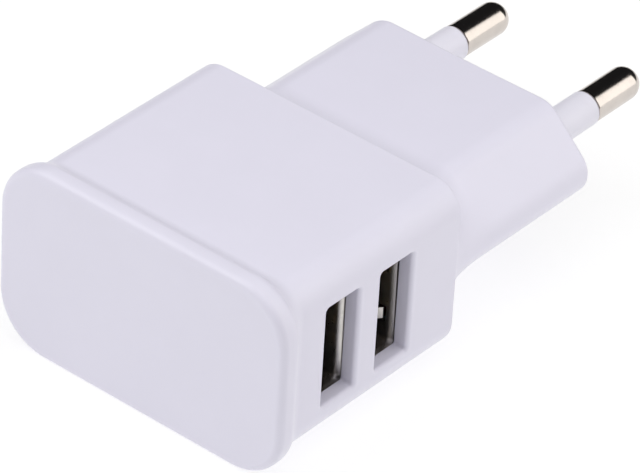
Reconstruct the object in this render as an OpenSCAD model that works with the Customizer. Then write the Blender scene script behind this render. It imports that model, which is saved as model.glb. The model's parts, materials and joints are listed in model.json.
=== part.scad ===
// Two-port USB wall charger with a flat round-pin mains plug.
// Frame: origin at the centre of the plug's wall face, +Y into the wall,
// +X towards the side that carries the two USB ports, +Z up. Millimetres.

/* [Case] */
// width of the block between its side faces
block_w = 36.5; // [36.2:0.1:38]
// height of the block
block_h = 20.9; // [20.6:0.1:22]
// distance from the wall face to the block's rear edge
block_y = 23.6; // [23.2:0.1:23.9]
// distance from the wall face to the front face
front_y = 53.8; // [53.6:0.1:56]
// radius of the block's four long edges
block_r = 4.1; // [3.6:0.1:5]
// how far the lip round the front face stands out
lip_out = 1.5; // [1.2:0.05:2]
// rounding of the front face's edge
lip_edge_r = 0.9; // [0.5:0.1:1.2]
// thickness of the case walls
wall = 1.8; // [1.6:0.1:2]
// thickness of the front wall
front_wall = 2; // [1.6:0.1:2.2]

/* [Plug] */
// height of the plug section
plug_h = 13.9; // [13.4:0.1:14.2]
// distance of the slanted faces, measured along X plus Z
plug_slant = 18.9; // [18.5:0.1:19]
// radius of the plug's side edges
plug_side_r = 3; // [2.8:0.1:3.4]
// radius between the flat and the slanted faces
plug_top_r = 3.4; // [2.5:0.1:4]
// length of the sweep between plug and block
sweep_len = 6; // [4:0.5:8]
// thickness of the plug's wall face
plug_face_t = 5; // [4:0.5:6]
// length of the spigot inside the block
spigot_len = 3.5; // [2.5:0.5:3.5]

/* [Pins] */
// pin diameter
pin_d = 4; // [3.9:0.05:4.1]
// distance between the pin centres
pin_pitch = 18.6; // [18.4:0.1:19.2]
// length of a pin outside the plug
pin_len = 18.6; // [18:0.1:19.5]
// length of the insulating sleeve outside the plug
sleeve_len = 10; // [9:0.5:10.5]
// diameter of the sleeve, halfway along its slight taper
sleeve_d = 4.2; // [4.1:0.02:4.4]
// diameter of the pin's core inside the sleeve
core_d = 2.9; // [2.6:0.1:3]
// length of the pin's tail inside the plug
tail_len = 8; // [7:0.5:9]

/* [Ports] */
// width of a port opening
port_w = 5.2; // [5.1:0.1:5.6]
// height of a port opening
port_h = 12.6; // [12.5:0.1:13.2]
// distance from the wall face to the front port's centre
port_front_y = 42.7; // [42.5:0.1:43]
// distance between the two ports
port_pitch = 8.7; // [8.5:0.1:8.9]

/* [Springs] */
// height of the contact springs above the tongue face
spring_rise = 0.3; // [0.2:0.05:0.35]

/* [Hidden] */
$fn = 64;
eps = 0.01;
gap = 0.1;
hx = block_w / 2 - block_r;
hz = block_h / 2 - block_r;
cav_x = block_w / 2 - wall;
cav_z = block_h / 2 - wall;
cav_r = block_r - wall;
cav_front = front_y - front_wall;
rim_gap = 0.15;
spigot_t = 1.2;
plug_b = plug_h / 2;
plug_edge_r = 0.5;
sweep_rings = 8;
q45 = sqrt(0.5);
plug_top_x = plug_slant - plug_b - plug_top_r * tan(22.5);
plug_top_z = plug_b - plug_top_r;
plug_side_x = plug_slant - plug_side_r / q45;
crest_r = 1.5;
hollow_r = 2.5;
crest_y = 1.6;
crest_run = sqrt(pow(crest_r + hollow_r, 2) - pow(crest_r + hollow_r - lip_out, 2));
crest_part = crest_r / (crest_r + hollow_r);
board_t = 1.2;
board_top = -6.8;
board_x = 15.6;
board_front = 51.2;
board_rear = 27.7;
rib_x = 15.65;
usb_in_w = 5.12;
usb_in_h = 12.5;
usb_t = 0.3;
usb_r = 0.9;
usb_mouth = cav_x - 0.55;
usb_back = 3;
usb_out_w = usb_in_w + 2 * usb_t;
usb_out_h = usb_in_h + 2 * usb_t;
tongue_t = 1.84;
tongue_off = 0.05;
tongue_h = 11.1;
tongue_end = 15.1;
tongue_root = 7.3;
groove_w = 1.3;
groove_d = 0.85;
strip_t = 0.25;
strip_w = 0.8;
spring_x = 7.6;
spring_tip = 14.2;
strip_z = [3.5, 1, -1, -3.5];
tail_x = [3.6, 4.25, 4.9, 5.55];
port_y = [-port_front_y, port_pitch - port_front_y];
coil_c = [-9.8, -41.5, 0.2];
core_l = 12.2;
core_a = 13;
core_t = 6.15;
cap_d = 8;
cap_x = 5.6;
cap_len = 12;
cap_y = 10;
out_cap_d = 6;
out_cap_l = 11;
out_cap_x = -0.45;
out_cap_y = [-44.9, -38.6];
lead_d = 0.6;
lead_low = board_top - board_t - 0.45;
cap_lead_y = -28.4;
wire_end = [12.9, -28.6];
fuse = [8.4, -29.9, -5.3];
disc = [-11.4, -32.9, -2.2];
diode = [-10, -49.5, -5.3];
drum = [-4.6, -32.2];
bridge = [0.2, -32.2];
chip = [-1, -49.6];

// ---- shared shapes ----

// box given by its low and high corners
module block(lo, hi) {
  translate(lo)
    cube(hi - lo);
}

// round bar along one axis, from one coordinate to another
module bar_y(x, z, d, y0, y1) {
  translate([x, y0, z])
    rotate([-90, 0, 0])
      cylinder(d = d, h = y1 - y0);
}

module bar_x(y, z, d, x0, x1) {
  translate([x0, y, z])
    rotate([0, 90, 0])
      cylinder(d = d, h = x1 - x0);
}

module bar_z(x, y, d, z0, z1) {
  translate([x, y, z0])
    cylinder(d = d, h = z1 - z0);
}

// round bar between any two points
module rod(a, b, d) {
  v = b - a;
  len = norm(v);
  translate(a)
    rotate([0, acos(v[2] / len), atan2(v[1], v[0])])
      cylinder(d = d, h = len);
}

// bent wire through a list of points
module wire(points, d) {
  for (i = [0 : len(points) - 2])
    rod(points[i], points[i + 1], d);
  for (i = [1 : len(points) - 2])
    translate(points[i])
      sphere(d = d + 0.1);
}

// prism with rounded long edges along Y
module round_prism(half_x, half_z, r, y0, y1) {
  for (sx = [-1, 1], sz = [-1, 1])
    bar_y(sx * (half_x - r), sz * (half_z - r), 2 * r, y0, y1);
  block([-half_x, y0, r - half_z], [half_x, y1, half_z - r]);
  block([r - half_x, y0, -half_z], [half_x - r, y1, half_z]);
}

// prism with rounded long edges along X, centred on y and on z = 0
module round_prism_x(y, half_y, half_z, r, x0, x1) {
  for (sy = [-1, 1], sz = [-1, 1])
    bar_x(y + sy * (half_y - r), sz * (half_z - r), 2 * r, x0, x1);
  block([x0, y - half_y, r - half_z], [x1, y + half_y, half_z - r]);
  block([x0, y - half_y + r, -half_z], [x1, y + half_y - r, half_z]);
}

// ---- case ----

// section of the block's skin: distance from a corner axis against Y
module skin_section() {
  land = block_r + lip_out;
  crest = [block_r + lip_out - crest_r, crest_y - front_y];
  joint = [
    crest[0] + crest_part * (crest_r + hollow_r - lip_out),
    crest[1] + crest_part * crest_run
  ];
  translate([0, crest[1]])
    square([block_r, front_y - block_y - crest_y]);
  translate([0, -front_y])
    square([land - lip_edge_r, crest_y]);
  translate([0, lip_edge_r - front_y])
    square([land, crest_y - lip_edge_r]);
  translate([land - lip_edge_r, lip_edge_r - front_y])
    circle(r = lip_edge_r);
  difference() {
    union() {
      translate(crest)
        circle(r = crest_r);
      polygon([
        [0, crest[1]],
        crest,
        joint,
        [joint[0], crest[1] + crest_run],
        [0, crest[1] + crest_run]
      ]);
    }
    translate([block_r + hollow_r, crest[1] + crest_run])
      circle(r = hollow_r);
  }
}

// block with its lip: a quarter turn of the section at each corner, a straight run on each side
module block_form() {
  for (i = [0 : 3]) {
    reach = i % 2 == 0 ? hx : hz;
    across = hx + hz - reach;
    rotate([0, -90 * i, 0]) {
      translate([reach, 0, 0])
        linear_extrude(height = 2 * across, center = true)
          skin_section();
      translate([reach, 0, -across])
        rotate([-90, 0, 0])
          rotate_extrude(angle = 90)
            skin_section();
    }
  }
  block([-hx, -front_y, -hz], [hx, -block_y, hz]);
}

module front_housing() {
  color([0.93, 0.93, 0.96])
    union() {
      difference() {
        block_form();
        round_prism(cav_x, cav_z, cav_r, -cav_front, 1 - block_y);
        for (y = port_y)
          block(
            [cav_x - 1, y - port_w / 2, -port_h / 2],
            [block_w / 2 + 1, y + port_w / 2, port_h / 2]
          );
      }
      for (sx = [-1, 1])
        block(
          [sx * rib_x - 0.4, -cav_front - eps, -cav_z - eps],
          [sx * rib_x + 0.4, -board_rear - 0.4, board_top - board_t]
        );
    }
}

// ---- plug ----

// directions in which the plug's outline is drawn, one quarter and then all round
slant_low = atan2(plug_side_r * q45, plug_side_x + plug_side_r * q45);
slant_top = atan2(plug_top_z + plug_top_r * q45, plug_top_x + plug_top_r * q45);
flat_end = atan2(plug_b, plug_top_x);
quarter = concat(
  [slant_low / 2, slant_low],
  [for (i = [1 : 4]) slant_low + (slant_top - slant_low) * i / 4],
  [for (i = [1 : 4]) slant_top + (flat_end - slant_top) * i / 4],
  [for (i = [1 : 4]) flat_end + (90 - flat_end) * i / 5]
);
quarter_back = [for (i = [1 : len(quarter)]) quarter[len(quarter) - i]];
turns = concat(
  [0], quarter, [90], [for (a = quarter_back) 180 - a],
  [180], [for (a = quarter) 180 + a], [270], [for (a = quarter_back) 360 - a]
);

// distance from the axis to the far side of a circle in one direction
function round_reach(d, centre, r) =
  d * centre + sqrt(r * r - centre * centre + pow(d * centre, 2));

// distance from the axis to the plug's outline in one direction
function plug_reach(a) =
  let (
    c = abs(cos(a)),
    s = abs(sin(a)),
    at = atan2(s, c)
  )
  at >= flat_end - eps ? plug_b / s :
  at >= slant_top - eps ? round_reach([c, s], [plug_top_x, plug_top_z], plug_top_r) :
  at >= slant_low - eps ? plug_slant / (c + s) :
  round_reach([c, s], [plug_side_x, 0], plug_side_r);

// distance from the axis to the block's outline in one direction
function block_reach(a) =
  let (
    c = abs(cos(a)),
    s = abs(sin(a)),
    x = block_w / 2 - rim_gap,
    z = block_h / 2 - rim_gap,
    r = block_r - rim_gap
  )
  x * s <= (z - r) * c ? x / c :
  z * c <= (x - r) * s ? z / s :
  round_reach([c, s], [x - r, z - r], r);

// outline of the plug, shrunk evenly by an inset
module plug_outline(inset) {
  offset(delta = -inset)
    polygon([for (a = turns) plug_reach(a) * [cos(a), sin(a)]]);
}

// how far a ring of the plug has moved towards the block's outline, and where it lies
function sweep_ring(j) =
  let (t = 1 - pow(j / sweep_rings, 1.5))
  [1 - sqrt(1 - t * t), -block_y + (1 - t) * sweep_len, 0];

// plug body: swept foot against the block, straight run, rounded edge at the wall face
module plug_form() {
  n = len(turns);
  rings = concat(
    [for (j = [0 : sweep_rings]) sweep_ring(j)],
    [for (i = [0 : 3]) [0, plug_edge_r * (sin(i * 30) - 1), plug_edge_r * (1 - cos(i * 30))]]
  );
  last = len(rings) - 1;
  points = concat(
    [
      for (ring = rings, a = turns)
        let (
          p = plug_reach(a),
          reach = p + ring[0] * (block_reach(a) - p) - ring[2]
        ) [reach * cos(a), ring[1], reach * sin(a)]
    ],
    [[0, -block_y, 0], [0, 0, 0]]
  );
  polyhedron(
    points = points,
    faces = concat(
      [
        for (j = [0 : last - 1], i = [0 : n - 1], h = [0, 1])
          let (k = (i + 1) % n, q = j * n)
            h == 0 ? [q + i, q + k, q + n + k] : [q + i, q + n + k, q + n + i]
      ],
      [for (i = [0 : n - 1]) [n * (last + 1), (i + 1) % n, i]],
      [for (i = [0 : n - 1]) [n * (last + 1) + 1, last * n + i, last * n + (i + 1) % n]]
    ),
    convexity = 4
  );
}

module plug_base() {
  spigot_end = -block_y - spigot_len;
  color([0.93, 0.93, 0.96])
    difference() {
      union() {
        plug_form();
        round_prism(cav_x - gap, cav_z - gap, cav_r - gap, spigot_end, 0.1 - block_y);
      }
      translate([0, -plug_face_t, 0])
        rotate([90, 0, 0])
          linear_extrude(height = block_y + spigot_len)
            plug_outline(wall);
      round_prism(
        cav_x - gap - spigot_t, cav_z - gap - spigot_t, cav_r - gap - spigot_t,
        spigot_end - 1, -block_y + 0.8
      );
      for (sx = [-1, 1]) {
        bar_y(sx * pin_pitch / 2, 0, core_d + 0.04, -plug_face_t - 1, 1);
        bar_y(sx * pin_pitch / 2, 0, sleeve_d + 0.08, -1.5, 1);
      }
    }
}

module pin(sx) {
  x = sx * pin_pitch / 2;
  color([0.72, 0.71, 0.7])
    union() {
      bar_y(x, 0, core_d, -tail_len, sleeve_len + eps);
      bar_y(x, 0, pin_d, sleeve_len, pin_len - pin_d / 2);
      translate([x, pin_len - pin_d / 2, 0])
        sphere(d = pin_d);
      bar_y(x, 0, core_d + 2.4, -plug_face_t - 0.9, -plug_face_t - 0.05);
    }
}

module pin_sleeve(sx) {
  x = sx * pin_pitch / 2;
  color([0.94, 0.94, 0.97])
    difference() {
      translate([x, -1.45, 0])
        rotate([-90, 0, 0])
          cylinder(d1 = sleeve_d + 0.04, d2 = sleeve_d - 0.04, h = sleeve_len + 1.4);
      bar_y(x, 0, core_d + 0.04, -2, sleeve_len + 1);
    }
}

module lead_wire(tint) {
  color(tint)
    wire([
      [pin_pitch / 2, -tail_len - 0.5, 0],
      [11.9, -11.7, 0],
      [11.9, -22, -1],
      [wire_end[0], wire_end[1], -4],
      [wire_end[0], wire_end[1], board_top + 0.4]
    ], 1.3);
}

module left_pin() {
  pin(-1);
}

module right_pin() {
  pin(1);
}

module left_pin_sleeve() {
  pin_sleeve(-1);
}

module right_pin_sleeve() {
  pin_sleeve(1);
}

module left_wire() {
  mirror([1, 0, 0])
    lead_wire([0.1, 0.1, 0.12]);
}

module right_wire() {
  lead_wire([0.75, 0.08, 0.06]);
}

// ---- board ----

// where the round leads pass the board
lead_points = concat(
  [for (sx = [-1, 1], s = [-1, 1]) [sx * cap_x + s * 1.5, cap_lead_y]],
  [for (y = out_cap_y, s = [-1, 1]) [out_cap_x, y + s * 1.25]],
  [for (s = [-1, 1]) [fuse[0] + s * 5.4, fuse[1]]],
  [for (s = [-1, 1]) [disc[0] + s * 2.5, disc[1]]],
  [for (s = [-1, 1]) [diode[0] + s * 4.4, diode[1]]],
  [for (s = [-1, 1]) [drum[0] + s * 1.6, drum[1]]],
  [for (i = [-1 : 1], s = [-1, 1]) [coil_c[0] + i * 4.2, coil_c[1] + s * 4.6]],
  [for (sx = [-1, 1]) [sx * wire_end[0], wire_end[1]]]
);

module circuit_board() {
  color([0.16, 0.42, 0.2])
    difference() {
      block([-board_x, -board_front, board_top - board_t], [board_x, -board_rear, board_top]);
      for (p = lead_points)
        bar_z(p[0], p[1], lead_d + 0.2, board_top - board_t - 1, board_top + 1);
      for (y = port_y) {
        block([3.2, y - 0.9, board_top - 2], [5.95, y - 0.1, board_top + 1]);
        for (x = [7.4, 13.4], s = [-1, 1])
          block(
            [x - 0.9, y + s * 2.71 - 0.3, board_top - 2],
            [x + 0.9, y + s * 2.71 + 0.3, board_top + 1]
          );
      }
    }
}

module solder_joints() {
  color([0.7, 0.71, 0.72])
    difference() {
      for (p = lead_points)
        translate([p[0], p[1], board_top - board_t - 0.52])
          cylinder(d1 = 0.9, d2 = 1.6, h = 0.5);
      for (p = lead_points)
        bar_z(p[0], p[1], lead_d + 0.04, board_top - board_t - 1, board_top);
    }
}

// lead that leaves a body sideways, bends and passes the board
module bent_lead(from, to) {
  wire([from, [to[0], to[1], from[2]], [to[0], to[1], lead_low]], lead_d);
}

module component_leads() {
  color([0.75, 0.76, 0.77])
    union() {
      for (sx = [-1, 1], s = [-1, 1]) {
        x = sx * cap_x + s * 1.5;
        bent_lead([x, -cap_y - cap_len - 0.05, 0], [x, cap_lead_y]);
      }
      for (y = out_cap_y, s = [-1, 1])
        bar_z(out_cap_x, y + s * 1.25, lead_d, lead_low, board_top + 0.35);
      for (s = [-1, 1]) {
        bent_lead([fuse[0] + s * 3.85, fuse[1], fuse[2]], [fuse[0] + s * 5.4, fuse[1]]);
        bent_lead([diode[0] + s * 2.65, diode[1], diode[2]], [diode[0] + s * 4.4, diode[1]]);
        bar_z(disc[0] + s * 2.5, disc[1], lead_d, lead_low, disc[2] - 3.35);
        bar_z(drum[0] + s * 1.6, drum[1], lead_d, lead_low, board_top + 0.15);
        bar_z(s * wire_end[0], wire_end[1], lead_d, lead_low, board_top + 0.35);
      }
      for (i = [-1 : 1], s = [-1, 1])
        bar_z(coil_c[0] + i * 4.2, coil_c[1] + s * 4.6, lead_d, lead_low, board_top + 0.35);
    }
}

module fusible_resistor() {
  color([0.28, 0.5, 0.36])
    union() {
      bar_x(fuse[1], fuse[2], 1.8, fuse[0] - 3, fuse[0] + 3);
      for (s = [-1, 1])
        bar_x(fuse[1], fuse[2], 2.1, fuse[0] + s * 2.6 - 1, fuse[0] + s * 2.6 + 1);
    }
}

module bridge_rectifier() {
  color([0.12, 0.12, 0.13])
    union() {
      block(
        [bridge[0] - 2, bridge[1] - 2.35, board_top + 0.15],
        [bridge[0] + 2, bridge[1] + 2.35, board_top + 2.6]
      );
      for (sx = [-1, 1], sy = [-1, 1])
        block(
          [bridge[0] + sx * 1.25 - 0.3, bridge[1] + sy * 2.6 - 0.45, board_top + 0.02],
          [bridge[0] + sx * 1.25 + 0.3, bridge[1] + sy * 2.6 + 0.45, board_top + 0.3]
        );
    }
}

// can with the pressed groove near its sealed end, standing on z = 0
module capacitor_can(d, h) {
  difference() {
    cylinder(d = d, h = h);
    translate([0, 0, 1.5])
      rotate_extrude()
        translate([d / 2 + 0.3, 0])
          circle(d = 1.2);
    translate([0, 0, h - 0.15])
      cylinder(d = d - 1.6, h = 1);
  }
}

module input_capacitor(sx) {
  color([0.12, 0.13, 0.2])
    translate([sx * cap_x, -cap_y - cap_len, 0])
      rotate([-90, 0, 0])
        capacitor_can(cap_d, cap_len);
}

module input_capacitor_left() {
  input_capacitor(-1);
}

module input_capacitor_right() {
  input_capacitor(1);
}

module output_capacitor(i) {
  color([0.1, 0.25, 0.22])
    translate([out_cap_x, out_cap_y[i], board_top + 0.4])
      capacitor_can(out_cap_d, out_cap_l);
}

module output_capacitor_front() {
  output_capacitor(0);
}

module output_capacitor_rear() {
  output_capacitor(1);
}

module filter_inductor() {
  color([0.1, 0.1, 0.1])
    union() {
      bar_z(drum[0], drum[1], 4.6, board_top + 0.2, board_top + 1.3);
      bar_z(drum[0], drum[1], 3.6, board_top + 1.2, board_top + 5.5);
      bar_z(drum[0], drum[1], 4.6, board_top + 5.4, board_top + 6.5);
    }
}

module controller_chip() {
  color([0.1, 0.1, 0.11])
    block(
      [chip[0] - 1.45, chip[1] - 0.8, board_top + 0.1],
      [chip[0] + 1.45, chip[1] + 0.8, board_top + 1.2]
    );
}

module controller_legs() {
  color([0.75, 0.76, 0.77])
    for (i = [-1 : 1], s = [-1, 1])
      translate([chip[0] + i * 0.95, chip[1] + s * 0.82, board_top + 0.02])
        rotate([0, 0, s * 90])
          rotate([90, 0, 0])
            linear_extrude(height = 0.4, center = true)
              polygon([
                [0, 0.5], [0.35, 0.5], [0.45, 0.15], [0.7, 0.15],
                [0.7, 0], [0.3, 0], [0.2, 0.35], [0, 0.35]
              ]);
}

module safety_capacitor() {
  color([0.15, 0.4, 0.75])
    translate([disc[0], disc[1] - 1.5, disc[2]])
      rotate([-90, 0, 0])
        cylinder(d = 8, h = 3);
}

module output_diode() {
  color([0.1, 0.1, 0.1])
    bar_x(diode[1], diode[2], 2.7, diode[0] - 2.6, diode[0] + 2.6);
}

module surface_resistors() {
  color([0.08, 0.08, 0.08])
    for (p = [[-14.6, -35.3], [-14.6, -34.1], [1.7, -49.9], [1.7, -48.6], [-4.4, -50.4], [-4.4, -48.9]])
      block([p[0] - 0.8, p[1] - 0.4, board_top + 0.02], [p[0] + 0.8, p[1] + 0.4, board_top + 0.5]);
}

// ---- transformer, wound round the X axis ----

module transformer_core() {
  color([0.2, 0.2, 0.21])
    translate(coil_c)
      for (s = [-1, 1])
        difference() {
          block(
            [s > 0 ? 0.03 : -core_l / 2, -core_t / 2, -core_a / 2],
            [s > 0 ? core_l / 2 : -0.03, core_t / 2, core_a / 2]
          );
          for (sz = [-1, 1])
            block(
              [s > 0 ? -1 : 1.5 - core_l / 2, -core_t, sz > 0 ? 1.4 : -core_a / 2 + 1.5],
              [s > 0 ? core_l / 2 - 1.5 : 1, core_t, sz > 0 ? core_a / 2 - 1.5 : -1.4]
            );
        }
}

// square tube round the core's middle leg
module coil_tube(half_y, half_z, t, r, half_x) {
  difference() {
    round_prism_x(0, half_y + t, half_z + t, r + t, -half_x, half_x);
    round_prism_x(0, half_y, half_z, r, -half_x - 1, half_x + 1);
  }
}

module transformer_bobbin() {
  half_x = core_l / 2 - 1.55;
  color([0.13, 0.13, 0.14])
    translate(coil_c)
      union() {
        coil_tube(core_t / 2 + 0.05, 1.45, 0.5, 0.1, half_x);
        for (s = [-1, 1])
          difference() {
            translate([s * (half_x - 0.35), 0, 0])
              round_prism_x(0, 5.7, 4.7, 0.6, -0.35, 0.35);
            round_prism_x(0, core_t / 2 + 0.05, 1.45, 0.1, -8, 8);
          }
        for (s = [-1, 1])
          block(
            [-5.3, s * 4.6 - 1, board_top + 0.4 - coil_c[2]],
            [5.3, s * 4.6 + 1, -4.65]
          );
      }
}

module transformer_windings() {
  half_x = core_l / 2 - 2.3;
  color([0.65, 0.33, 0.14])
    translate(coil_c)
      coil_tube(core_t / 2 + 0.6, 2, 2.1, 0.8, half_x);
}

module transformer_tape() {
  half_x = core_l / 2 - 2.35;
  color([0.93, 0.8, 0.15])
    translate(coil_c)
      coil_tube(core_t / 2 + 2.75, 4.15, 0.25, 2.95, half_x);
}

// ---- USB sockets ----

module usb_shell(i) {
  y = port_y[i];
  color([0.75, 0.75, 0.77])
    difference() {
      union() {
        round_prism_x(y, usb_out_w / 2, usb_out_h / 2, usb_r, usb_back, usb_mouth);
        for (x = [7.4, 13.4], s = [-1, 1])
          block(
            [x - 0.75, y + s * (usb_out_w - usb_t) / 2 - usb_t / 2, board_top - board_t - 0.4],
            [x + 0.75, y + s * (usb_out_w - usb_t) / 2 + usb_t / 2, -5]
          );
      }
      round_prism_x(
        y, usb_in_w / 2, usb_in_h / 2, usb_r - usb_t,
        usb_back - 1, usb_mouth + 1
      );
      block([usb_back - 1, y - 1.6, -usb_out_h], [6.1, y + 0.6, -5.5]);
    }
}

module usb_insulator(i) {
  y = port_y[i];
  face = y - tongue_off;
  color([0.12, 0.12, 0.13])
    difference() {
      union() {
        round_prism_x(y, usb_in_w / 2 - 0.02, usb_in_h / 2 - 0.02, usb_r - usb_t, 6, tongue_root);
        block([tongue_root - 0.5, face - tongue_t, -tongue_h / 2], [tongue_end, face, tongue_h / 2]);
      }
      for (z = strip_z)
        block(
          [5, face - groove_d, z - groove_w / 2],
          [tongue_end - 0.6, face + 0.15, z + groove_w / 2]
        );
    }
}

// bent contact strip, drawn from its root to its tip
module usb_springs(i) {
  face = port_y[i] - tongue_off;
  h = strip_t / 2;
  crest = face + spring_rise - h;
  root = face - 0.45;
  tip = face - 0.15;
  color([0.85, 0.65, 0.25])
    for (z = strip_z)
      translate([0, 0, z])
        linear_extrude(height = strip_w, center = true)
          polygon([
            [spring_x, root - h], [9, root - h], [13, crest - h], [13.4, crest - h],
            [spring_tip, tip - h], [spring_tip, tip + h],
            [13.4, crest + h], [13, crest + h], [9, root + h], [spring_x, root + h]
          ]);
}

module usb_tails(i) {
  root = port_y[i] - tongue_off - 0.45;
  color([0.85, 0.65, 0.25])
    for (k = [0 : 3]) {
      block(
        [tail_x[k] - 0.2, root - strip_t / 2, strip_z[k] - strip_w / 2],
        [spring_x - 0.1, root + strip_t / 2, strip_z[k] + strip_w / 2]
      );
      block(
        [tail_x[k] - 0.2, root - strip_t / 2, board_top - board_t - 0.3],
        [tail_x[k] + 0.2, root + strip_t / 2, strip_z[k]]
      );
    }
}

module usb_front_shell() {
  usb_shell(0);
}

module usb_front_insulator() {
  usb_insulator(0);
}

module usb_front_springs() {
  usb_springs(0);
}

module usb_front_tails() {
  usb_tails(0);
}

module usb_rear_shell() {
  usb_shell(1);
}

module usb_rear_insulator() {
  usb_insulator(1);
}

module usb_rear_springs() {
  usb_springs(1);
}

module usb_rear_tails() {
  usb_tails(1);
}

front_housing();
plug_base();
left_pin();
right_pin();
left_pin_sleeve();
right_pin_sleeve();
left_wire();
right_wire();
circuit_board();
solder_joints();
component_leads();
fusible_resistor();
bridge_rectifier();
input_capacitor_left();
input_capacitor_right();
filter_inductor();
controller_chip();
controller_legs();
transformer_core();
transformer_bobbin();
transformer_windings();
transformer_tape();
safety_capacitor();
output_diode();
output_capacitor_front();
output_capacitor_rear();
surface_resistors();
usb_front_shell();
usb_front_insulator();
usb_front_springs();
usb_front_tails();
usb_rear_shell();
usb_rear_insulator();
usb_rear_springs();
usb_rear_tails();
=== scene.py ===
import json
from math import atan2, cos, degrees, pi, radians, sin, sqrt, tan

import bmesh
import bpy
from mathutils import Matrix, Vector


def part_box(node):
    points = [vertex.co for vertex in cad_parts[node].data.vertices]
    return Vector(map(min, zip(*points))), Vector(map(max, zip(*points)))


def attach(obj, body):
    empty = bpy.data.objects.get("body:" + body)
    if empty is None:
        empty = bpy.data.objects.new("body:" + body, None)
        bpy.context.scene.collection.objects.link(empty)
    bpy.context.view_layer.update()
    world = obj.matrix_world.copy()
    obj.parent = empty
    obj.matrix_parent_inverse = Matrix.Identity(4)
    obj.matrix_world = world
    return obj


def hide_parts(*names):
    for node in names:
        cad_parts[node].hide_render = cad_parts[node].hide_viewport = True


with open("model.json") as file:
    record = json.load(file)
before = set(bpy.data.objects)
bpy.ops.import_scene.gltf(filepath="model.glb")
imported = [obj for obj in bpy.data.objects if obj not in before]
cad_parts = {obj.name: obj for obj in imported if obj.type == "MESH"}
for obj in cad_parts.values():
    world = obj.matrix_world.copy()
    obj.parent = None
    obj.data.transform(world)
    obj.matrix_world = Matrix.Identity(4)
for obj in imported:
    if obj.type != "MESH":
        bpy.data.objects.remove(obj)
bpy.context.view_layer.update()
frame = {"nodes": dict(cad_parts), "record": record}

# Sizes and places are in millimetres, in the frame's own axes: +Y along the pins into the wall, +X towards
# the USB ports, +Z up. Objects are made in metres.
MM = 0.001


def box_mm(node):
    lo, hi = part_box(node)
    return lo / MM, hi / MM


# ---------------------------------------------------------------- mesh helpers

CREASE_ANGLE = 32    # degrees; edges sharper than this stay creased
MERGE = 0.5e-6       # metres; points closer than this become one point after a cut
CLEAR = 0.001        # keeps a cutter's rim out of the plane of the wall that it cuts
EDGE_ANGLES = [radians(15 * k) for k in range(7)]    # stations round a quarter-circle edge


def finish_mesh(mesh, merged=False):
    """Outward normals and smooth shading with creases; merged also clears the slivers that a cut leaves."""
    bm = bmesh.new()
    bm.from_mesh(mesh)
    if merged:
        bmesh.ops.remove_doubles(bm, verts=bm.verts, dist=MERGE)
        bmesh.ops.dissolve_degenerate(bm, edges=bm.edges, dist=MERGE)
    bmesh.ops.recalc_face_normals(bm, faces=bm.faces)
    bm.to_mesh(mesh)
    bm.free()
    mesh.shade_smooth()
    mesh.set_sharp_from_angle(angle=radians(CREASE_ANGLE))


def weight_normals(obj):
    mod = obj.modifiers.new("normals", "WEIGHTED_NORMAL")
    mod.keep_sharp = True


def make_object(name, shape, material):
    """Object in the scene; shape is (vertices, faces)."""
    verts, faces = shape
    mesh = bpy.data.meshes.new(name)
    mesh.from_pydata([Vector(v) * MM for v in verts], [], faces)
    mesh.validate()
    finish_mesh(mesh)
    obj = bpy.data.objects.new(name, mesh)
    bpy.context.scene.collection.objects.link(obj)
    obj.data.materials.append(material)
    return obj


def make_piece(name, shape, material):
    """Piece that moves with the charger itself."""
    obj = make_object(name, shape, material)
    weight_normals(obj)
    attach(obj, "charger")
    return obj


def make_cutter(shape):
    return make_object("cutter", shape, case_plastic)


def cut(obj, cutters):
    """Takes the cutters out of obj for good."""
    obj.modifiers.clear()
    for cutter in cutters:
        mod = obj.modifiers.new("cut", "BOOLEAN")
        mod.operation = "DIFFERENCE"
        mod.solver = "EXACT"
        mod.object = cutter
    bpy.context.view_layer.update()
    graph = bpy.context.evaluated_depsgraph_get()
    mesh = bpy.data.meshes.new_from_object(obj.evaluated_get(graph))
    obj.modifiers.clear()
    obj.data = mesh
    for cutter in cutters:
        bpy.data.objects.remove(cutter)
    finish_mesh(mesh, merged=True)
    weight_normals(obj)


def loft(rings, joined=False):
    """Rings of equal length joined in order, with a cap at each end, or with the last joined to the first."""
    n = len(rings[0])
    last = (len(rings) - 1) * n
    verts = [p for ring in rings for p in ring]
    faces = []
    for a in range(0, last, n):
        faces += [(a + i, a + (i + 1) % n, a + n + (i + 1) % n, a + n + i) for i in range(n)]
    if joined:
        faces += [(last + i, last + (i + 1) % n, (i + 1) % n, i) for i in range(n)]
    else:
        faces.append(tuple(range(n - 1, -1, -1)))
        faces.append(tuple(range(last, last + n)))
    return verts, faces


def lathe(profile, x, segments, joined=False):
    """Turned shape about an axis along Y at x; the profile is (radius, y) from one end to the other."""
    angles = [2 * pi * k / segments for k in range(segments)]
    return loft([[(x + r * cos(a), y, r * sin(a)) for a in angles] for r, y in profile], joined)


def join_parts(parts):
    """One shape from several."""
    verts, faces = [], []
    for part_verts, part_faces in parts:
        base = len(verts)
        verts += part_verts
        faces += [tuple(i + base for i in face) for face in part_faces]
    return verts, faces


def arc(cx, cy, r, start, end, steps):
    """Points round a circle between two angles in degrees."""
    angles = [radians(start + (end - start) * k / steps) for k in range(steps + 1)]
    return [(cx + r * cos(a), cy + r * sin(a)) for a in angles]


def rounded_loop(half_a, half_b, r, steps=14):
    """Rounded rectangle, counter-clockwise, as (a, b) pairs."""
    loop = []
    for quarter, (side_a, side_b) in enumerate(((1, 1), (-1, 1), (-1, -1), (1, -1))):
        start = 90 * quarter
        loop += arc(side_a * (half_a - r), side_b * (half_b - r), r, start, start + 90, steps)
    return loop


def ring_y(pairs, y):
    return [(a, y, b) for a, b in pairs]


# ---------------------------------------------------------------- materials

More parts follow.
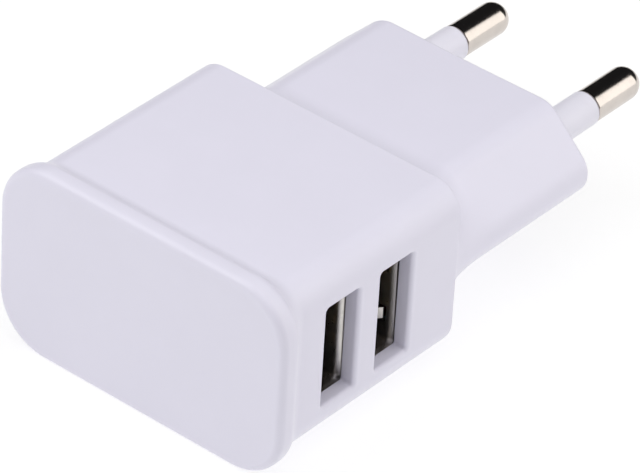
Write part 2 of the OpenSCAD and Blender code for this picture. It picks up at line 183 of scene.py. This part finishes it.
class Nodes:
    """A small writer of node materials in object space, in millimetres."""

    def __init__(self, name, color, rough, metallic=0.0, **sockets):
        self.name = name
        self.mat = bpy.data.materials.new(name)
        self.mat.use_nodes = True
        self.tree = self.mat.node_tree
        self.tree.nodes.clear()
        out = self.node("ShaderNodeOutputMaterial")
        self.shader = self.node("ShaderNodeBsdfPrincipled")
        self.link(self.shader.outputs[0], out.inputs[0])
        self.set("Base Color", (*color, 1))
        self.set("Roughness", rough)
        self.set("Metallic", metallic)
        for key, value in sockets.items():
            self.set(key.replace("_", " "), value)
        coord = self.node("ShaderNodeTexCoord")
        scale = self.node("ShaderNodeVectorMath", operation="SCALE")
        scale.inputs["Scale"].default_value = 1 / MM
        self.link(coord.outputs["Object"], scale.inputs[0])
        self.place = scale.outputs[0]
        self.normal = None

    def link(self, a, b):
        self.tree.links.new(a, b)

    def set(self, socket, value):
        self.shader.inputs[socket].default_value = value

    def node(self, kind, **values):
        made = self.tree.nodes.new(kind)
        for key, value in values.items():
            setattr(made, key, value)
        return made

    def stretched(self, factors):
        made = self.node("ShaderNodeVectorMath", operation="MULTIPLY")
        self.link(self.place, made.inputs[0])
        made.inputs[1].default_value = factors
        return made.outputs[0]

    def noise(self, per_mm, detail=3.0, roughness=0.55, stretch=None):
        made = self.node("ShaderNodeTexNoise")
        made.inputs["Scale"].default_value = per_mm
        made.inputs["Detail"].default_value = detail
        made.inputs["Roughness"].default_value = roughness
        self.link(self.stretched(stretch) if stretch else self.place, made.inputs["Vector"])
        return made.outputs["Fac"]

    def waves(self, axis, per_mm, distortion):
        made = self.node("ShaderNodeTexWave", bands_direction=axis, wave_profile="SIN")
        made.inputs["Scale"].default_value = per_mm
        made.inputs["Distortion"].default_value = distortion
        self.link(self.place, made.inputs["Vector"])
        return made.outputs["Fac"]

    def span(self, value, lo, hi, out_lo, out_hi):
        made = self.node("ShaderNodeMapRange", clamp=True)
        for key, number in zip(("From Min", "From Max", "To Min", "To Max"), (lo, hi, out_lo, out_hi)):
            made.inputs[key].default_value = number
        self.link(value, made.inputs["Value"])
        return made.outputs["Result"]

    def math(self, operation, a, b):
        made = self.node("ShaderNodeMath", operation=operation)
        for socket, value in zip(made.inputs, (a, b)):
            if isinstance(value, (int, float)):
                socket.default_value = value
            else:
                self.link(value, socket)
        return made.outputs[0]

    def mix(self, factor, a, b):
        """Blend from colour a to colour b."""
        made = self.node("ShaderNodeMix", data_type="RGBA")
        self.link(factor, made.inputs["Factor"])
        for key, color in (("A", a), ("B", b)):
            socket = [s for s in made.inputs if s.name == key and s.type == "RGBA"][0]
            socket.default_value = (*color, 1)
        return [s for s in made.outputs if s.type == "RGBA"][0]

    def band(self, axis, lo, hi, inside, outside):
        """Paints a band between two places along one axis."""
        parts = self.node("ShaderNodeSeparateXYZ")
        self.link(self.place, parts.inputs[0])
        value = parts.outputs["XYZ".index(axis)]
        above = self.math("GREATER_THAN", value, lo)
        below = self.math("LESS_THAN", value, hi)
        self.paint(self.mix(self.math("MULTIPLY", above, below), outside, inside))

    def paint(self, value):
        self.link(value, self.shader.inputs["Base Color"])

    def shade(self, value):
        self.link(value, self.shader.inputs["Roughness"])

    def bump(self, value, height_mm):
        """Adds relief on top of what the material has already."""
        made = self.node("ShaderNodeBump")
        made.inputs["Strength"].default_value = 1.0
        made.inputs["Distance"].default_value = height_mm * MM
        self.link(value, made.inputs["Height"])
        if self.normal is not None:
            self.link(self.normal, made.inputs["Normal"])
        self.normal = made.outputs["Normal"]
        self.link(self.normal, self.shader.inputs["Normal"])


GLOSS_FINER = 6    # gloss varies this many times as finely as colour


def tinted(color, factor):
    return tuple(min(1.0, c * factor) for c in color)


def surface(name, color, rough, metallic=0.0, spread=0.06, blotch=0.4, grain=8.0, grain_mm=0.004,
            rough_spread=0.06, stretch=None, **sockets):
    """Material with slow colour variation, uneven gloss and a fine surface grain.

    spread and rough_spread are how far colour and roughness vary, blotch and grain are noise scales per mm.
    Noise mostly stays between 0.3 and 0.7, which the two spans stretch.
    """
    m = Nodes(name, color, rough, metallic, **sockets)
    tone = m.span(m.noise(blotch), 0.35, 0.65, 0, 1)
    m.paint(m.mix(tone, tinted(color, 1 - spread), tinted(color, 1 + spread)))
    fine = m.noise(grain, 4.0, 0.6, stretch)
    m.shade(m.span(m.noise(blotch * GLOSS_FINER), 0.3, 0.7, rough - rough_spread, rough + rough_spread))
    m.bump(fine, grain_mm)
    return m


case_plastic = surface(
    "case_plastic", (0.79, 0.771, 0.883), 0.34, spread=0.006, blotch=0.12, grain=9.0, grain_mm=0.0015,
    rough_spread=0.03, IOR=1.5, Specular_IOR_Level=0.5,
).mat
sleeve_plastic = surface(
    "sleeve_plastic", (0.80, 0.785, 0.87), 0.36, spread=0.008, blotch=0.3, grain=9.0, grain_mm=0.002,
    rough_spread=0.03,
).mat
pin_nickel = surface(
    "pin_nickel", (0.62, 0.57, 0.53), 0.17, 1.0, spread=0.03, blotch=0.5, grain=6.0, grain_mm=0.0012,
    rough_spread=0.03, stretch=(0.6, 9.0, 0.6),
).mat
socket_steel = surface(
    "socket_steel", (0.62, 0.60, 0.57), 0.32, 1.0, spread=0.05, blotch=0.6, grain=7.0, grain_mm=0.002,
    rough_spread=0.05, stretch=(0.4, 1.0, 5.0),
).mat


def board_material():
    m = surface("board", (0.03, 0.16, 0.06), 0.38, spread=0.10, blotch=1.0, grain=4.0, grain_mm=0.01)
    tracks = m.node("ShaderNodeTexBrick", offset=0.5)
    tracks.inputs["Scale"].default_value = 0.35
    tracks.inputs["Mortar Size"].default_value = 0.06
    tracks.inputs["Color1"].default_value = (0.025, 0.15, 0.055, 1)
    tracks.inputs["Color2"].default_value = (0.03, 0.19, 0.07, 1)
    tracks.inputs["Mortar"].default_value = (0.05, 0.30, 0.11, 1)
    m.link(m.place, tracks.inputs["Vector"])
    m.paint(tracks.outputs["Color"])
    m.bump(tracks.outputs["Fac"], 0.02)
    return m


def banded_material(name, color, rough, axis, lo, hi, band_color, **settings):
    """Body colour with one printed band across it, between two places along an axis."""
    m = surface(name, color, rough, grain=3.0, grain_mm=0.01, **settings)
    m.band(axis, lo, hi, band_color, color)
    return m


def copper_material():
    m = surface("enamelled_copper", (0.55, 0.20, 0.06), 0.3, 0.85, spread=0.1, blotch=1.0)
    m.bump(m.waves("X", 1.2, distortion=0.3), 0.12)
    return m


# ---------------------------------------------------------------- front housing

LIP_OUT = 1.5        # how far the lip round the front face stands out from the block
BLOCK_R = 3.5        # long edges of the block
LIP_R = 6.6          # corners of the front face
LIP_EDGE_R = 0.9     # edge of the front face
CREST_Y = 1.6        # from the front face to the middle of the lip's crest
CREST_R = 1.5        # section of the crest
HOLLOW_R = 2.5       # section of the hollow between the crest and the block
REAR_EDGE_R = 0.3
WALL = 1.8
FRONT_WALL = 2.0

PORT_W, PORT_H = 5.2, 12.6
PORT_RIM = 0.5       # rounded edge round each port
PORT_CORNER = 0.35
PORT_CUT = (1.5, 1.0)    # how far a port's cutter reaches past the wall, inside and outside

house_lo, house_hi = box_mm("front_housing")
front_y, block_y = house_lo.y, house_hi.y
block_x, block_z = house_hi.x - LIP_OUT, house_hi.z - LIP_OUT
cavity_x, cavity_z = block_x - WALL, block_z - WALL
lip_reach = BLOCK_R + LIP_OUT


def skin_ring(r, y, corner):
    """Outline of the case at y, r outside the square that joins the centres of the block's long edges."""
    return ring_y(rounded_loop(block_x - BLOCK_R + r, block_z - BLOCK_R + r, corner), y)


def skin_corner(r):
    """The corners open out with the lip, from the block's own radius to the wider one of the front face."""
    if r <= BLOCK_R:
        return r
    return BLOCK_R + (LIP_R - BLOCK_R) * (r - BLOCK_R) / LIP_OUT


def housing_shape():
    """Rings from the front face, round the lip, back along the block and forward again inside it."""
    edge = arc(lip_reach - LIP_EDGE_R, front_y + LIP_EDGE_R, LIP_EDGE_R, -90, 0, 10)
    rings = [skin_ring(r, y, LIP_R - (lip_reach - r)) for r, y in edge]
    centres = CREST_R + HOLLOW_R
    run = sqrt(centres ** 2 - (centres - LIP_OUT) ** 2)
    swing = degrees(atan2(run, centres - LIP_OUT))
    profile = arc(lip_reach - CREST_R, front_y + CREST_Y, CREST_R, 0, swing, 10)
    profile += arc(BLOCK_R + HOLLOW_R, front_y + CREST_Y + run, HOLLOW_R, 180 + swing, 180, 12)[1:]
    profile += arc(BLOCK_R - REAR_EDGE_R, block_y - REAR_EDGE_R, REAR_EDGE_R, 0, 90, 5)
    rings += [skin_ring(r, y, skin_corner(r)) for r, y in profile]
    cavity = rounded_loop(cavity_x, cavity_z, BLOCK_R - WALL)
    rings += [ring_y(cavity, y) for y in (block_y, front_y + FRONT_WALL)]
    return loft(rings)


def port_cutter(centre_y):
    """Opening that widens round its rim."""
    inside, outside = PORT_CUT
    rim_x = block_x - PORT_RIM
    sections = [(cavity_x - inside, 0.0), (rim_x, 0.0)]
    sections += [(rim_x + PORT_RIM * sin(a) + CLEAR, PORT_RIM * (1 - cos(a))) for a in EDGE_ANGLES[1:]]
    sections.append((block_x + outside, PORT_RIM))
    rings = []
    for x, more in sections:
        loop = rounded_loop(PORT_W / 2 + more, PORT_H / 2 + more, PORT_CORNER + more, 6)
        rings.append([(x, centre_y + a, b) for a, b in loop])
    return make_cutter(loft(rings))


def port_centre(place):
    lo, hi = box_mm(f"usb_{place}_shell")
    return (lo.y + hi.y) / 2


housing = make_piece("housing_case", housing_shape(), case_plastic)
cut(housing, [port_cutter(port_centre(place)) for place in ("front", "rear")])
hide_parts("front_housing")

# ---------------------------------------------------------------- plug base

PLUG_HALF = 6.95     # half height of the plug's section
PLUG_SLANT = 18.9    # where the 45-degree slants would meet the section's middle line
PLUG_SIDE_R = 3.0    # edge between two slants
PLUG_TOP_R = 3.4     # edge between a slant and the top or underside
PLUG_EDGE_R = 0.5    # edge of the wall face
SWEEP = 6.0          # length over which the plug's section opens out to the block's
SWEEP_STEPS = 24
SWEEP_CROWD = 1.5    # above 1, the stations stand closer together next to the block
RIM_GAP = 0.15       # step in from the housing's rim
SEAM_DEPTH = 0.25    # groove between the two case parts
SPIGOT_DEPTH = 3.4   # spigot inside the housing
SPIGOT_INSET = 1.9
SPIGOT_EASE = 0.3
FLAT_STEPS = 5

top_x = PLUG_SLANT - PLUG_HALF - PLUG_TOP_R * tan(radians(22.5))
top_z = PLUG_HALF - PLUG_TOP_R
side_x = PLUG_SLANT - PLUG_SIDE_R * sqrt(2)


def plug_outline():
    """Flat hexagon with rounded edges, as (x, z) pairs: one quarter, mirrored into the other three."""
    quarter = arc(side_x, 0, PLUG_SIDE_R, 0, 45, 12)
    top_edge = arc(top_x, top_z, PLUG_TOP_R, 45, 90, 12)
    (x0, z0), (x1, z1) = quarter[-1], top_edge[0]
    for k in range(1, FLAT_STEPS):
        quarter.append((x0 + (x1 - x0) * k / FLAT_STEPS, z0 + (z1 - z0) * k / FLAT_STEPS))
    quarter += top_edge
    quarter += [(top_x * (1 - k / FLAT_STEPS), PLUG_HALF) for k in range(1, FLAT_STEPS + 1)]
    upper_left = [(-a, b) for a, b in reversed(quarter)][1:]
    lower_left = [(-a, -b) for a, b in quarter][1:]
    lower_right = [(a, -b) for a, b in reversed(quarter)][1:-1]
    return quarter + upper_left + lower_left + lower_right


def block_reach(c, s):
    """Distance from the axis to the block's outline in the direction (c, s)."""
    x, z, r = block_x - RIM_GAP, block_z - RIM_GAP, BLOCK_R - RIM_GAP
    if x * s <= (z - r) * c:
        return x / c
    if z * c <= (x - r) * s:
        return z / s
    d = c * (x - r) + s * (z - r)
    return d + sqrt(max(0.0, r * r - (x - r) ** 2 - (z - r) ** 2 + d * d))


def plug_ring(y, blend=0.0, inset=0.0):
    """Section at y, from the plug's own (blend 0) to the block's (blend 1), drawn in by inset."""
    ring = []
    for a, b in outline:
        reach = sqrt(a * a + b * b)
        far = reach + blend * (block_reach(abs(a) / reach, abs(b) / reach) - reach) - inset
        ring.append((a * far / reach, y, b * far / reach))
    return ring


def plug_shape():
    """Rings from the spigot's end, through the seam and the sweep, to the wall face."""
    rings = [
        plug_ring(block_y - SPIGOT_DEPTH, 1.0, SPIGOT_INSET + SPIGOT_EASE),
        plug_ring(block_y - SPIGOT_DEPTH, 1.0, SPIGOT_INSET),
        plug_ring(block_y - SEAM_DEPTH, 1.0, SPIGOT_INSET),
        plug_ring(block_y - SEAM_DEPTH, 1.0, 0.0),
    ]
    for k in range(SWEEP_STEPS + 1):
        t = 1 - (k / SWEEP_STEPS) ** SWEEP_CROWD
        rings.append(plug_ring(block_y + (1 - t) * SWEEP, 1 - sqrt(1 - t * t)))
    for a in EDGE_ANGLES:
        rings.append(plug_ring(PLUG_EDGE_R * (sin(a) - 1), 0.0, PLUG_EDGE_R * (1 - cos(a))))
    return loft(rings)


SLEEVE_R = 2.12
SLEEVE_TAPER = 0.04  # how much thinner a sleeve is at its outer end
BORE_GAP = 0.05      # between a sleeve and the plug base
BORE_Y = (-2.0, 1.0)

pin_lo, pin_hi = box_mm("right_pin")
sleeve_lo, sleeve_hi = box_mm("right_pin_sleeve")
pin_x = (pin_lo.x + pin_hi.x) / 2
outline = plug_outline()
plug = make_piece("plug_case", plug_shape(), case_plastic)
bore = [(SLEEVE_R + BORE_GAP, y) for y in BORE_Y]
cut(plug, [make_cutter(lathe(bore, side * pin_x, 64)) for side in (-1, 1)])
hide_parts("plug_base")

# ---------------------------------------------------------------- pins and sleeves

PIN_R = 2.0
CORE_R = 1.45        # thinner part of a pin inside its sleeve
CORE_GAP = 0.03
SHOULDER_GAP = 0.16  # from a sleeve's end to the bare metal's shoulder
SHOULDER_EASE = 0.2
SLEEVE_EASE = 0.12
TIP_ARC = 86         # degrees of the round tip, which ends in a small flat
TIP_FLAT = 0.02
ROUND = 128          # segments round a pin


def pin_profile():
    shoulder, tip = sleeve_hi.y + SHOULDER_GAP, pin_hi.y
    points = [(CORE_R, pin_lo.y), (CORE_R, shoulder)]
    points.append((PIN_R - 0.9 * SHOULDER_EASE, shoulder))
    points.append((PIN_R - 0.3 * SHOULDER_EASE, shoulder + 0.3 * SHOULDER_EASE))
    points.append((PIN_R, shoulder + SHOULDER_EASE))
    points += arc(0, tip - PIN_R, PIN_R, 0, TIP_ARC, 18)
    points.append((TIP_FLAT, tip))
    return points


def sleeve_profile():
    """Runs out along the outside; its last point is joined to its first, which makes the inside."""
    end, end_r = sleeve_hi.y, SLEEVE_R - SLEEVE_TAPER
    return [
        (CORE_R + CORE_GAP, sleeve_lo.y),
        (SLEEVE_R, sleeve_lo.y),
        (end_r, end - SLEEVE_EASE),
        (end_r - SLEEVE_EASE / 3, end - SLEEVE_EASE / 4),
        (end_r - SLEEVE_EASE, end),
        (CORE_R + CORE_GAP, end),
    ]


for place, side in (("left", -1), ("right", 1)):
    pin = make_piece(f"{place}_pin_metal", lathe(pin_profile(), side * pin_x, ROUND), pin_nickel)
    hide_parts(f"{place}_pin")
    sleeve = make_piece(
        f"{place}_sleeve", lathe(sleeve_profile(), side * pin_x, ROUND, joined=True), sleeve_plastic)
    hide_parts(f"{place}_pin_sleeve")

# ---------------------------------------------------------------- USB shells

SHELL_IN_W, SHELL_IN_H = 5.12, 12.5
SHELL_T = 0.3
SHELL_R = 0.9        # outer corners of the folded tube
MOUTH_SHIFT = 0.15   # the mouth stands this far outside the plain tube
FLARE = {"front": 0.42, "rear": 0.2}    # how far each wide wall flares out at the mouth
FLARE_LEN = 0.75
FLARE_STEPS = 7
FLARE_CURVE = 1.8    # power of the flare's curve
DROP = 0.3           # how far each narrow wall leans out at the mouth
DROP_LEN = 2.2
LOW_LIP = 0.2        # slope by which the mouth's lower edge reaches outwards
RIM_ROUND = 0.05

SPRING_W = 1.4
SPRING_T = (0.26, 0.24, 0.22, 0.2)    # thickness at the root, along the bend, at the crest and at the tip
ROOT_LAP = 0.02      # a spring's root runs this far into the wall
SPRING_IN = 0.38     # how far a spring reaches inside its wall
SPRING_REACH = 0.78  # part of its length over which it bends inwards
SPRING_STEPS = 8
SPRING_TIP = 0.4     # length that turns back out at the tip
CREST_SHARE = 0.98   # share of the reach where the tip starts to turn back
TIP_SHARE = 0.05     # share of the reach at the very end
SPRING_GAP = 0.25    # between a spring's side and the edge of its window
WINDOW_CUT = 0.4     # half depth of a window's cutter, and the room past a spring's tip
# Springs in each shell as (wall's side in Y, height, root in X, tip in X)
SPRINGS = {
    "front": ((1, -3.2, 8.0, 13.6), (1, 3.2, 8.0, 13.6), (-1, -3.2, 7.2, 12.6), (-1, 3.2, 7.2, 12.6)),
    "rear": ((1, -3.2, 9.2, 14.75), (1, 3.2, 9.2, 14.75), (-1, -3.2, 7.2, 12.6), (-1, 3.2, 7.2, 12.6)),
}
# Slot for the contact tails in the lower wall: its end in X, its two sides from the middle and its top
TAIL_SLOT_X = 6.1
TAIL_SLOT_Y = (-1.6, 0.6)
TAIL_SLOT_Z = -5.5

LEG_X = (7.4, 13.4)
LEG_TOP = -5.6
LEG_HALF = 0.75
LEG_TIP_HALF = 0.5
LEG_TIP = 0.35       # length of a leg's narrowed tip


def shell_loop(x, centre_y, out, flare, drop):
    """Section of the tube, out from its inner faces."""
    half_w, half_h = SHELL_IN_W / 2 + out + flare, SHELL_IN_H / 2 + out + drop
    loop = rounded_loop(half_w, half_h, SHELL_R - SHELL_T + out, 8)
    sill = SHELL_IN_H / 2 - SHELL_R
    lean = LOW_LIP if flare else 0.0
    return [(x + lean * max(0.0, -b - sill), centre_y + a, b) for a, b in loop]


def shell_shape(centre_y, back, mouth, flare):
    """Folded tube with a flared mouth; the rings run out along the inside and back along the outside."""
    sections = [(back, 0.0), (mouth - DROP_LEN, 0.0), (mouth - FLARE_LEN, 0.0)]
    for k in range(1, FLARE_STEPS + 1):
        t = k / FLARE_STEPS
        sections.append((mouth - FLARE_LEN + FLARE_LEN * t, flare * t ** FLARE_CURVE))
    inside, outside = [], []
    for x, more in sections:
        drop = DROP * max(0.0, 1 - (mouth - x) / DROP_LEN)
        inside.append(shell_loop(x, centre_y, 0.0, more, drop))
        outside.append(shell_loop(x, centre_y, SHELL_T, more, drop))
    rim = shell_loop(mouth + RIM_ROUND, centre_y, SHELL_T / 2, flare, DROP)
    return loft(inside + [rim] + outside[::-1], joined=True)


def spring_shape(root, tip, z, wall_y, dip):
    """Strip that bends inwards from its root in the wall and turns back at its tip."""
    root_t, bend_t, crest_t, tip_t = SPRING_T
    stations = [(root - ROOT_LAP, wall_y, root_t)]
    for k in range(1, SPRING_STEPS + 1):
        t = k / SPRING_STEPS
        x = root + (tip - root) * SPRING_REACH * t
        stations.append((x, wall_y - dip * t * t * (3 - 2 * t), bend_t))
    stations.append((tip - SPRING_TIP, wall_y - dip * CREST_SHARE, crest_t))
    stations.append((tip, wall_y - dip * TIP_SHARE, tip_t))
    low, high = z - SPRING_W / 2, z + SPRING_W / 2
    return loft([
        [(x, y - t / 2, low), (x, y + t / 2, low), (x, y + t / 2, high), (x, y - t / 2, high)]
        for x, y, t in stations
    ])


def leg_shape(x, y, foot_z):
    """Flat leg with a narrowed tip that goes down into the board."""
    y0, y1 = y - SHELL_T / 2, y + SHELL_T / 2
    levels = ((foot_z, LEG_TIP_HALF), (foot_z + LEG_TIP, LEG_HALF), (LEG_TOP, LEG_HALF))
    return loft([[(x - w, y0, z), (x + w, y0, z), (x + w, y1, z), (x - w, y1, z)] for z, w in levels])


def box_cutter(lo, hi):
    return make_cutter(loft([
        [(lo[0], lo[1], z), (hi[0], lo[1], z), (hi[0], hi[1], z), (lo[0], hi[1], z)] for z in (lo[2], hi[2])
    ]))


def make_socket_shell(place):
    """Steel shell of one socket with windows for its springs; the springs and legs are a second piece."""
    shell_lo, shell_hi = box_mm(f"usb_{place}_shell")
    cy = port_centre(place)
    to_wall = SHELL_IN_W / 2 + SHELL_T / 2
    shape = shell_shape(cy, shell_lo.x, shell_hi.x + MOUTH_SHIFT, FLARE[place])
    shell = make_piece(f"usb_{place}_socket_shell", shape, socket_steel)
    cutters, parts = [], []
    for side, z, root, tip in SPRINGS[place]:
        wall_y = cy + side * to_wall
        half = SPRING_W / 2 + SPRING_GAP
        cutters.append(box_cutter(
            (root, wall_y - WINDOW_CUT, z - half), (tip + WINDOW_CUT, wall_y + WINDOW_CUT, z + half)))
        parts.append(spring_shape(root, tip, z, wall_y, side * (SPRING_IN + SHELL_T / 2)))
    slot_lo = (shell_lo.x - 1, cy + TAIL_SLOT_Y[0], shell_lo.z - 1)
    cutters.append(box_cutter(slot_lo, (TAIL_SLOT_X, cy + TAIL_SLOT_Y[1], TAIL_SLOT_Z)))
    cut(shell, cutters)
    parts += [leg_shape(x, cy + side * to_wall, shell_lo.z) for x in LEG_X for side in (-1, 1)]
    springs = make_piece(f"usb_{place}_shell_springs", join_parts(parts), socket_steel)
    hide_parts(f"usb_{place}_shell")


for place in ("front", "rear"):
    make_socket_shell(place)

# ---------------------------------------------------------------- materials of the pieces kept from the CAD

kept_materials = [
    board_material(),
    copper_material(),
    banded_material("capacitor_sleeve", (0.03, 0.035, 0.10), 0.3, "Z", 2.4, 6.0, (0.45, 0.46, 0.50),
                    spread=0.1),
    banded_material("output_capacitor_sleeve", (0.02, 0.13, 0.10), 0.3, "X", 1.4, 4.0, (0.50, 0.52, 0.50),
                    spread=0.1),
    banded_material("resistor_body", (0.14, 0.42, 0.26), 0.35, "X", 8.0, 8.7, (0.55, 0.05, 0.03)),
    surface("socket_plastic", (0.05, 0.042, 0.047), 0.45, spread=0.15, blotch=1.2, grain=10.0),
    surface("contact_gold", (0.83, 0.60, 0.25), 0.22, 1.0, spread=0.05, blotch=1.5, grain=12.0,
            grain_mm=0.001),
    surface("solder", (0.62, 0.63, 0.65), 0.25, 1.0, spread=0.08, blotch=2.5, grain=5.0, grain_mm=0.02),
    surface("tinned_wire", (0.66, 0.66, 0.66), 0.3, 1.0, spread=0.06, blotch=2.0, grain=9.0),
    surface("black_wire", (0.012, 0.012, 0.014), 0.42, spread=0.2, blotch=1.5),
    surface("red_wire", (0.38, 0.012, 0.01), 0.42, spread=0.1, blotch=1.5),
    surface("tape", (0.78, 0.55, 0.03), 0.32, spread=0.05, blotch=0.8, grain=1.2, grain_mm=0.03),
    surface("bobbin", (0.02, 0.02, 0.024), 0.5, spread=0.15, blotch=1.5, grain=8.0, grain_mm=0.006),
    surface("ferrite", (0.045, 0.045, 0.05), 0.5, spread=0.25, blotch=2.0, grain=12.0, grain_mm=0.012),
    surface("mould_compound", (0.02, 0.02, 0.022), 0.55, spread=0.2, blotch=2.0, grain=11.0, grain_mm=0.01),
    surface("drum_sleeve", (0.015, 0.015, 0.016), 0.4, spread=0.2, grain=2.0, grain_mm=0.02),
    surface("disc_lacquer", (0.02, 0.12, 0.42), 0.28, spread=0.12, grain=2.0, grain_mm=0.03),
    surface("chip_resistor", (0.02, 0.02, 0.023), 0.25, spread=0.2, blotch=3.0),
]
by_slot = {m.name: m.mat for m in kept_materials}
for row in frame["record"]["subparts"]:
    if row["material_slot"] in by_slot:
        obj = frame["nodes"][row["node"]]
        obj.data.materials.clear()
        obj.data.materials.append(by_slot[row["material_slot"]])

# ---------------------------------------------------------------- studio

FLOOR_HALF = 900
STUDIO_CENTRE = Vector((0, -18, 0)) * MM


def make_floor(z):
    """Pale paper that glows a little, so that it stays white beside the charger."""
    paper = Nodes("floor_paper", (0.35, 0.35, 0.35), 0.9)
    paper.set("Emission Color", (1, 1, 1, 1))
    paper.set("Emission Strength", 0.7)
    corners = [(a * FLOOR_HALF, b * FLOOR_HALF, z) for a, b in ((-1, -1), (1, -1), (1, 1), (-1, 1))]
    return make_object("floor", (corners, [(0, 1, 2, 3)]), paper.mat)


def softbox(name, direction, distance_mm, size_mm, power, glossy=True, color=(1, 1, 1)):
    data = bpy.data.lights.new(name, "AREA")
    data.shape = "RECTANGLE"
    data.size, data.size_y = size_mm[0] * MM, size_mm[1] * MM
    data.energy = power
    data.color = color
    obj = bpy.data.objects.new(name, data)
    bpy.context.scene.collection.objects.link(obj)
    out = Vector(direction).normalized()
    obj.location = STUDIO_CENTRE + out * distance_mm * MM
    obj.rotation_mode = "QUATERNION"
    obj.rotation_quaternion = out.to_track_quat("Z", "Y")
    obj.visible_glossy = glossy


floor = make_floor(house_lo.z)
softbox("overhead", (0.12, -0.12, 1), 420, (700, 700), 2.32, glossy=False)
softbox("front_left", (-0.5, -0.58, 0.64), 420, (300, 230), 0.46)
softbox("back_right", (0.70, 0.64, 0.42), 420, (280, 374), 0.54, color=(1.0, 0.98, 0.95))
softbox("front_fill", (-0.1, -1, 0.15), 450, (500, 300), 0.2, glossy=False)

world = bpy.data.worlds.new("studio")
world.use_nodes = True
world.node_tree.nodes["Background"].inputs["Color"].default_value = (0.014, 0.014, 0.015, 1)
world.node_tree.nodes["Background"].inputs["Strength"].default_value = 1.0
bpy.context.scene.world = world
bpy.context.scene.view_settings.view_transform = "Standard"

# ---------------------------------------------------------------- camera

CAMERA_PLACE = Vector((283.2, -385.4, 324.9)) * MM
CAMERA_RIGHT = Vector((0.7634, 0.6440, 0.0501))
CAMERA_LOOK = Vector((-0.5012, 0.6394, -0.5830))
CAMERA_LENS = 295.1

camera_data = bpy.data.cameras.new("camera")
camera_data.sensor_width = 36
camera_data.lens = CAMERA_LENS
camera_data.clip_start, camera_data.clip_end = 0.01, 5
camera = bpy.data.objects.new("camera", camera_data)
bpy.context.scene.collection.objects.link(camera)
back = -CAMERA_LOOK.normalized()
right = (CAMERA_RIGHT - CAMERA_RIGHT.dot(back) * back).normalized()
up = back.cross(right)
camera.matrix_world = Matrix.Translation(CAMERA_PLACE) @ Matrix((right, up, back)).transposed().to_4x4()
bpy.context.scene.camera = camera
